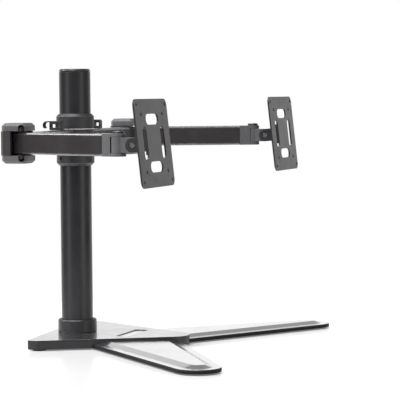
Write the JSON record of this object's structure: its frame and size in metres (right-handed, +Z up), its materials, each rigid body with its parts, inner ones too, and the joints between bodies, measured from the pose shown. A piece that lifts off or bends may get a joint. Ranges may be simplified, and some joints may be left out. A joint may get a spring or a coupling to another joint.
{
  "type": "monitor arm",
  "caption": "Free-standing desk stand: a black pole on a V-shaped bright foot carries two folding arms with tilting display plates.",
  "frame": {"origin": "at table level, under the middle of the footprint's box; the pole's axis is 137.25 mm behind it, at +Y", "axes": "+Z up, -Y towards the user and the displays' faces, +X to the user's right"},
  "size_m": [0.6712, 0.3504, 0.4022],
  "materials": {
    "black_steel": "satin black powder coat",
    "arm_steel": "satin charcoal powder coat",
    "black_cast": "satin black paint on a casting",
    "knuckle_grey": "fine textured grey moulding",
    "bright_cover": "polished satin silver",
    "black_plastic": "moulded, lightly textured",
    "fastener_steel": "blackened zinc",
    "nylon": "natural nylon",
    "rubber": "matt moulded rubber"
  },
  "bodies": {
    "base": {"hub_plate": "black_steel", "hub_cover": "bright_cover", "left_leg_bar": "black_steel", "left_leg_cover": "bright_cover", "left_leg_bolt_1": "fastener_steel", "left_leg_bolt_2": "fastener_steel", "left_hub_foot": "rubber", "left_leg_foot": "rubber", "right_leg_bar": "black_steel", "right_leg_cover": "bright_cover", "right_leg_bolt_1": "fastener_steel", "right_leg_bolt_2": "fastener_steel", "right_hub_foot": "rubber", "right_leg_foot": "rubber", "pole_tube": "black_steel", "pole_insert": "fastener_steel", "pole_bolt": "fastener_steel", "base_collar": "black_plastic", "pole_cap": "black_plastic"},
    "carriage": {"height_collar": "black_cast", "height_collar_screw": "fastener_steel", "retaining_collar": "black_cast", "retaining_collar_screw": "fastener_steel", "washer_low": "nylon", "washer_middle": "nylon", "washer_top": "nylon"},
    "left_inner_link": {"left_root_ring": "black_cast", "left_inner_tube": "arm_steel", "left_cable_clip": "black_plastic", "left_elbow_yoke": "arm_steel", "left_elbow_cap_top": "knuckle_grey", "left_elbow_cap_bottom": "knuckle_grey", "left_elbow_bolt": "fastener_steel", "left_elbow_nut": "fastener_steel"},
    "left_outer_link": {"left_outer_tube": "arm_steel", "left_outer_tube_plug": "black_plastic", "left_head_fork": "knuckle_grey", "left_swivel_pin": "fastener_steel"},
    "left_swivel_head": {"left_swivel_block": "knuckle_grey"},
    "left_tilt_head": {"left_tilt_bracket": "black_steel", "left_tilt_bolt": "fastener_steel"},
    "left_plate": {"left_display_plate": "black_steel", "left_plate_nut": "fastener_steel"},
    "right_inner_link": {"right_root_ring": "black_cast", "right_inner_tube": "arm_steel", "right_cable_clip": "black_plastic", "right_elbow_yoke": "arm_steel", "right_elbow_cap_top": "knuckle_grey", "right_elbow_cap_bottom": "knuckle_grey", "right_elbow_bolt": "fastener_steel", "right_elbow_nut": "fastener_steel"},
    "right_outer_link": {"right_outer_tube": "arm_steel", "right_outer_tube_plug": "black_plastic", "right_head_fork": "knuckle_grey", "right_swivel_pin": "fastener_steel"},
    "right_swivel_head": {"right_swivel_block": "knuckle_grey"},
    "right_tilt_head": {"right_tilt_bracket": "black_steel", "right_tilt_bolt": "fastener_steel"},
    "right_plate": {"right_display_plate": "black_steel", "right_plate_nut": "fastener_steel"}
  },
  "joints": [
    {"name": "height_slide", "type": "slide", "parent": "base", "child": "carriage", "axis": [0, 0, 1], "range_m": [-0.15, 0.055]},
    {"name": "left_root_turn", "type": "hinge", "parent": "carriage", "child": "left_inner_link", "pos_m": [0, 0.13725, 0.2985], "axis": [0, 0, 1], "range_deg": [-60, 20]},
    {"name": "left_elbow_turn", "type": "hinge", "parent": "left_inner_link", "child": "left_outer_link", "pos_m": [-0.19593, 0.13212, 0.2985], "axis": [0, 0, 1], "range_deg": [-58, 20]},
    {"name": "left_swivel", "type": "hinge", "parent": "left_outer_link", "child": "left_swivel_head", "pos_m": [-0.27814, -0.0458, 0.2985], "axis": [0, 0, 1], "range_deg": [-75, 40]},
    {"name": "left_tilt", "type": "hinge", "parent": "left_swivel_head", "child": "left_tilt_head", "pos_m": [-0.27814, -0.06981, 0.2985], "axis": [1, 0, 0], "range_deg": [-14, 21]},
    {"name": "left_plate_turn", "type": "hinge", "parent": "left_tilt_head", "child": "left_plate", "pos_m": [-0.27814, -0.09644, 0.30144], "axis": [0, -0.994, 0.1097], "range_deg": [-90, 90]},
    {"name": "right_root_turn", "type": "hinge", "parent": "carriage", "child": "right_inner_link", "pos_m": [0, 0.13725, 0.2985], "axis": [0, 0, 1], "range_deg": [-20, 60]},
    {"name": "right_elbow_turn", "type": "hinge", "parent": "right_inner_link", "child": "right_outer_link", "pos_m": [0.19593, 0.13212, 0.2985], "axis": [0, 0, 1], "range_deg": [-20, 58]},
    {"name": "right_swivel", "type": "hinge", "parent": "right_outer_link", "child": "right_swivel_head", "pos_m": [0.27814, -0.0458, 0.2985], "axis": [0, 0, 1], "range_deg": [-40, 75]},
    {"name": "right_tilt", "type": "hinge", "parent": "right_swivel_head", "child": "right_tilt_head", "pos_m": [0.27814, -0.06981, 0.2985], "axis": [1, 0, 0], "range_deg": [-14, 21]},
    {"name": "right_plate_turn", "type": "hinge", "parent": "right_tilt_head", "child": "right_plate", "pos_m": [0.27814, -0.09644, 0.30144], "axis": [0, -0.994, 0.1097], "range_deg": [-90, 90]}
  ]
}
